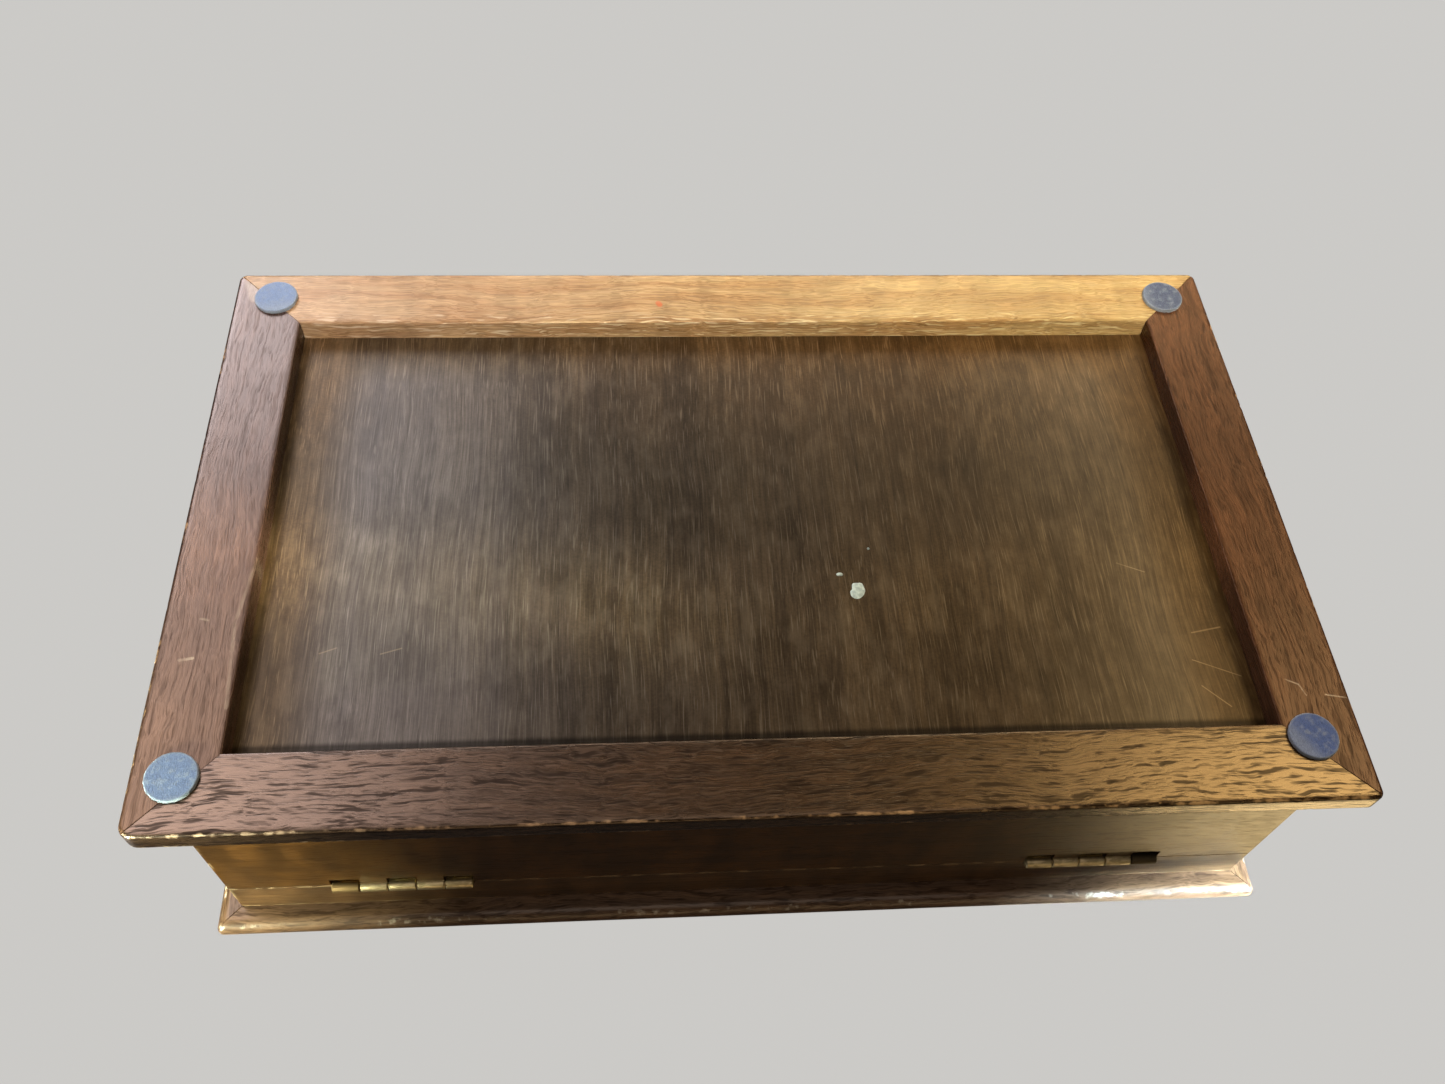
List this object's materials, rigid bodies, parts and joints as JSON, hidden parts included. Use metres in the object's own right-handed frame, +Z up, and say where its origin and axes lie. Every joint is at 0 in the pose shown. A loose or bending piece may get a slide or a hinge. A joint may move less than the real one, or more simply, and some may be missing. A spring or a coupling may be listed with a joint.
{
  "type": "hinged wooden box",
  "caption": "Rectangular wooden box with a mitred, overhanging base frame, a flat hinged lid with a rounded edge, brass butt hinges and felt pads under the base.",
  "frame": {"origin": "middle of the box, on the surface that its felt pads stand on", "axes": "+X to the right along the long side, +Y towards the hinges at the back, +Z up through the lid"},
  "size_m": [0.292, 0.175, 0.0789],
  "materials": {
    "base_frame_wood": "thin satin lacquer, worn pale along the edges",
    "bottom_plywood": "dark stained open-grain plywood, almost matt, scratched",
    "wall_wood": "satin lacquer",
    "lid_frame_wood": "gloss lacquer, worn in spots",
    "lid_panel_wood": "satin lacquer",
    "felt": "flattened felt, pale and fuzzy at the rim",
    "hinge_brass": "dull, tarnished brass",
    "screw_brass": "satin brass"
  },
  "bodies": {
    "box": {"base_rail_front": "base_frame_wood", "base_rail_back": "base_frame_wood", "base_rail_left": "base_frame_wood", "base_rail_right": "base_frame_wood", "bottom_panel": "bottom_plywood", "wall_front": "wall_wood", "wall_back": "wall_wood", "wall_left": "wall_wood", "wall_right": "wall_wood", "felt_pad_front_left": "felt", "felt_pad_front_right": "felt", "felt_pad_back_left": "felt", "felt_pad_back_right": "felt", "hinge_leaf_lower_left": "hinge_brass", "hinge_leaf_lower_right": "hinge_brass", "hinge_screws_lower_left": "screw_brass", "hinge_screws_lower_right": "screw_brass"},
    "lid": {"lid_rim_front": "wall_wood", "lid_rim_back": "wall_wood", "lid_rim_left": "wall_wood", "lid_rim_right": "wall_wood", "lid_rail_front": "lid_frame_wood", "lid_rail_back": "lid_frame_wood", "lid_rail_left": "lid_frame_wood", "lid_rail_right": "lid_frame_wood", "lid_panel": "lid_panel_wood", "hinge_leaf_upper_left": "hinge_brass", "hinge_leaf_upper_right": "hinge_brass", "hinge_pin_left": "hinge_brass", "hinge_pin_right": "hinge_brass", "hinge_screws_upper_left": "screw_brass", "hinge_screws_upper_right": "screw_brass"}
  },
  "joints": [
    {"name": "lid_hinge", "type": "hinge", "parent": "box", "child": "lid", "pos_m": [0, 0.0798, 0.059], "axis": [-1, 0, 0], "range_deg": [0, 159]}
  ]
}
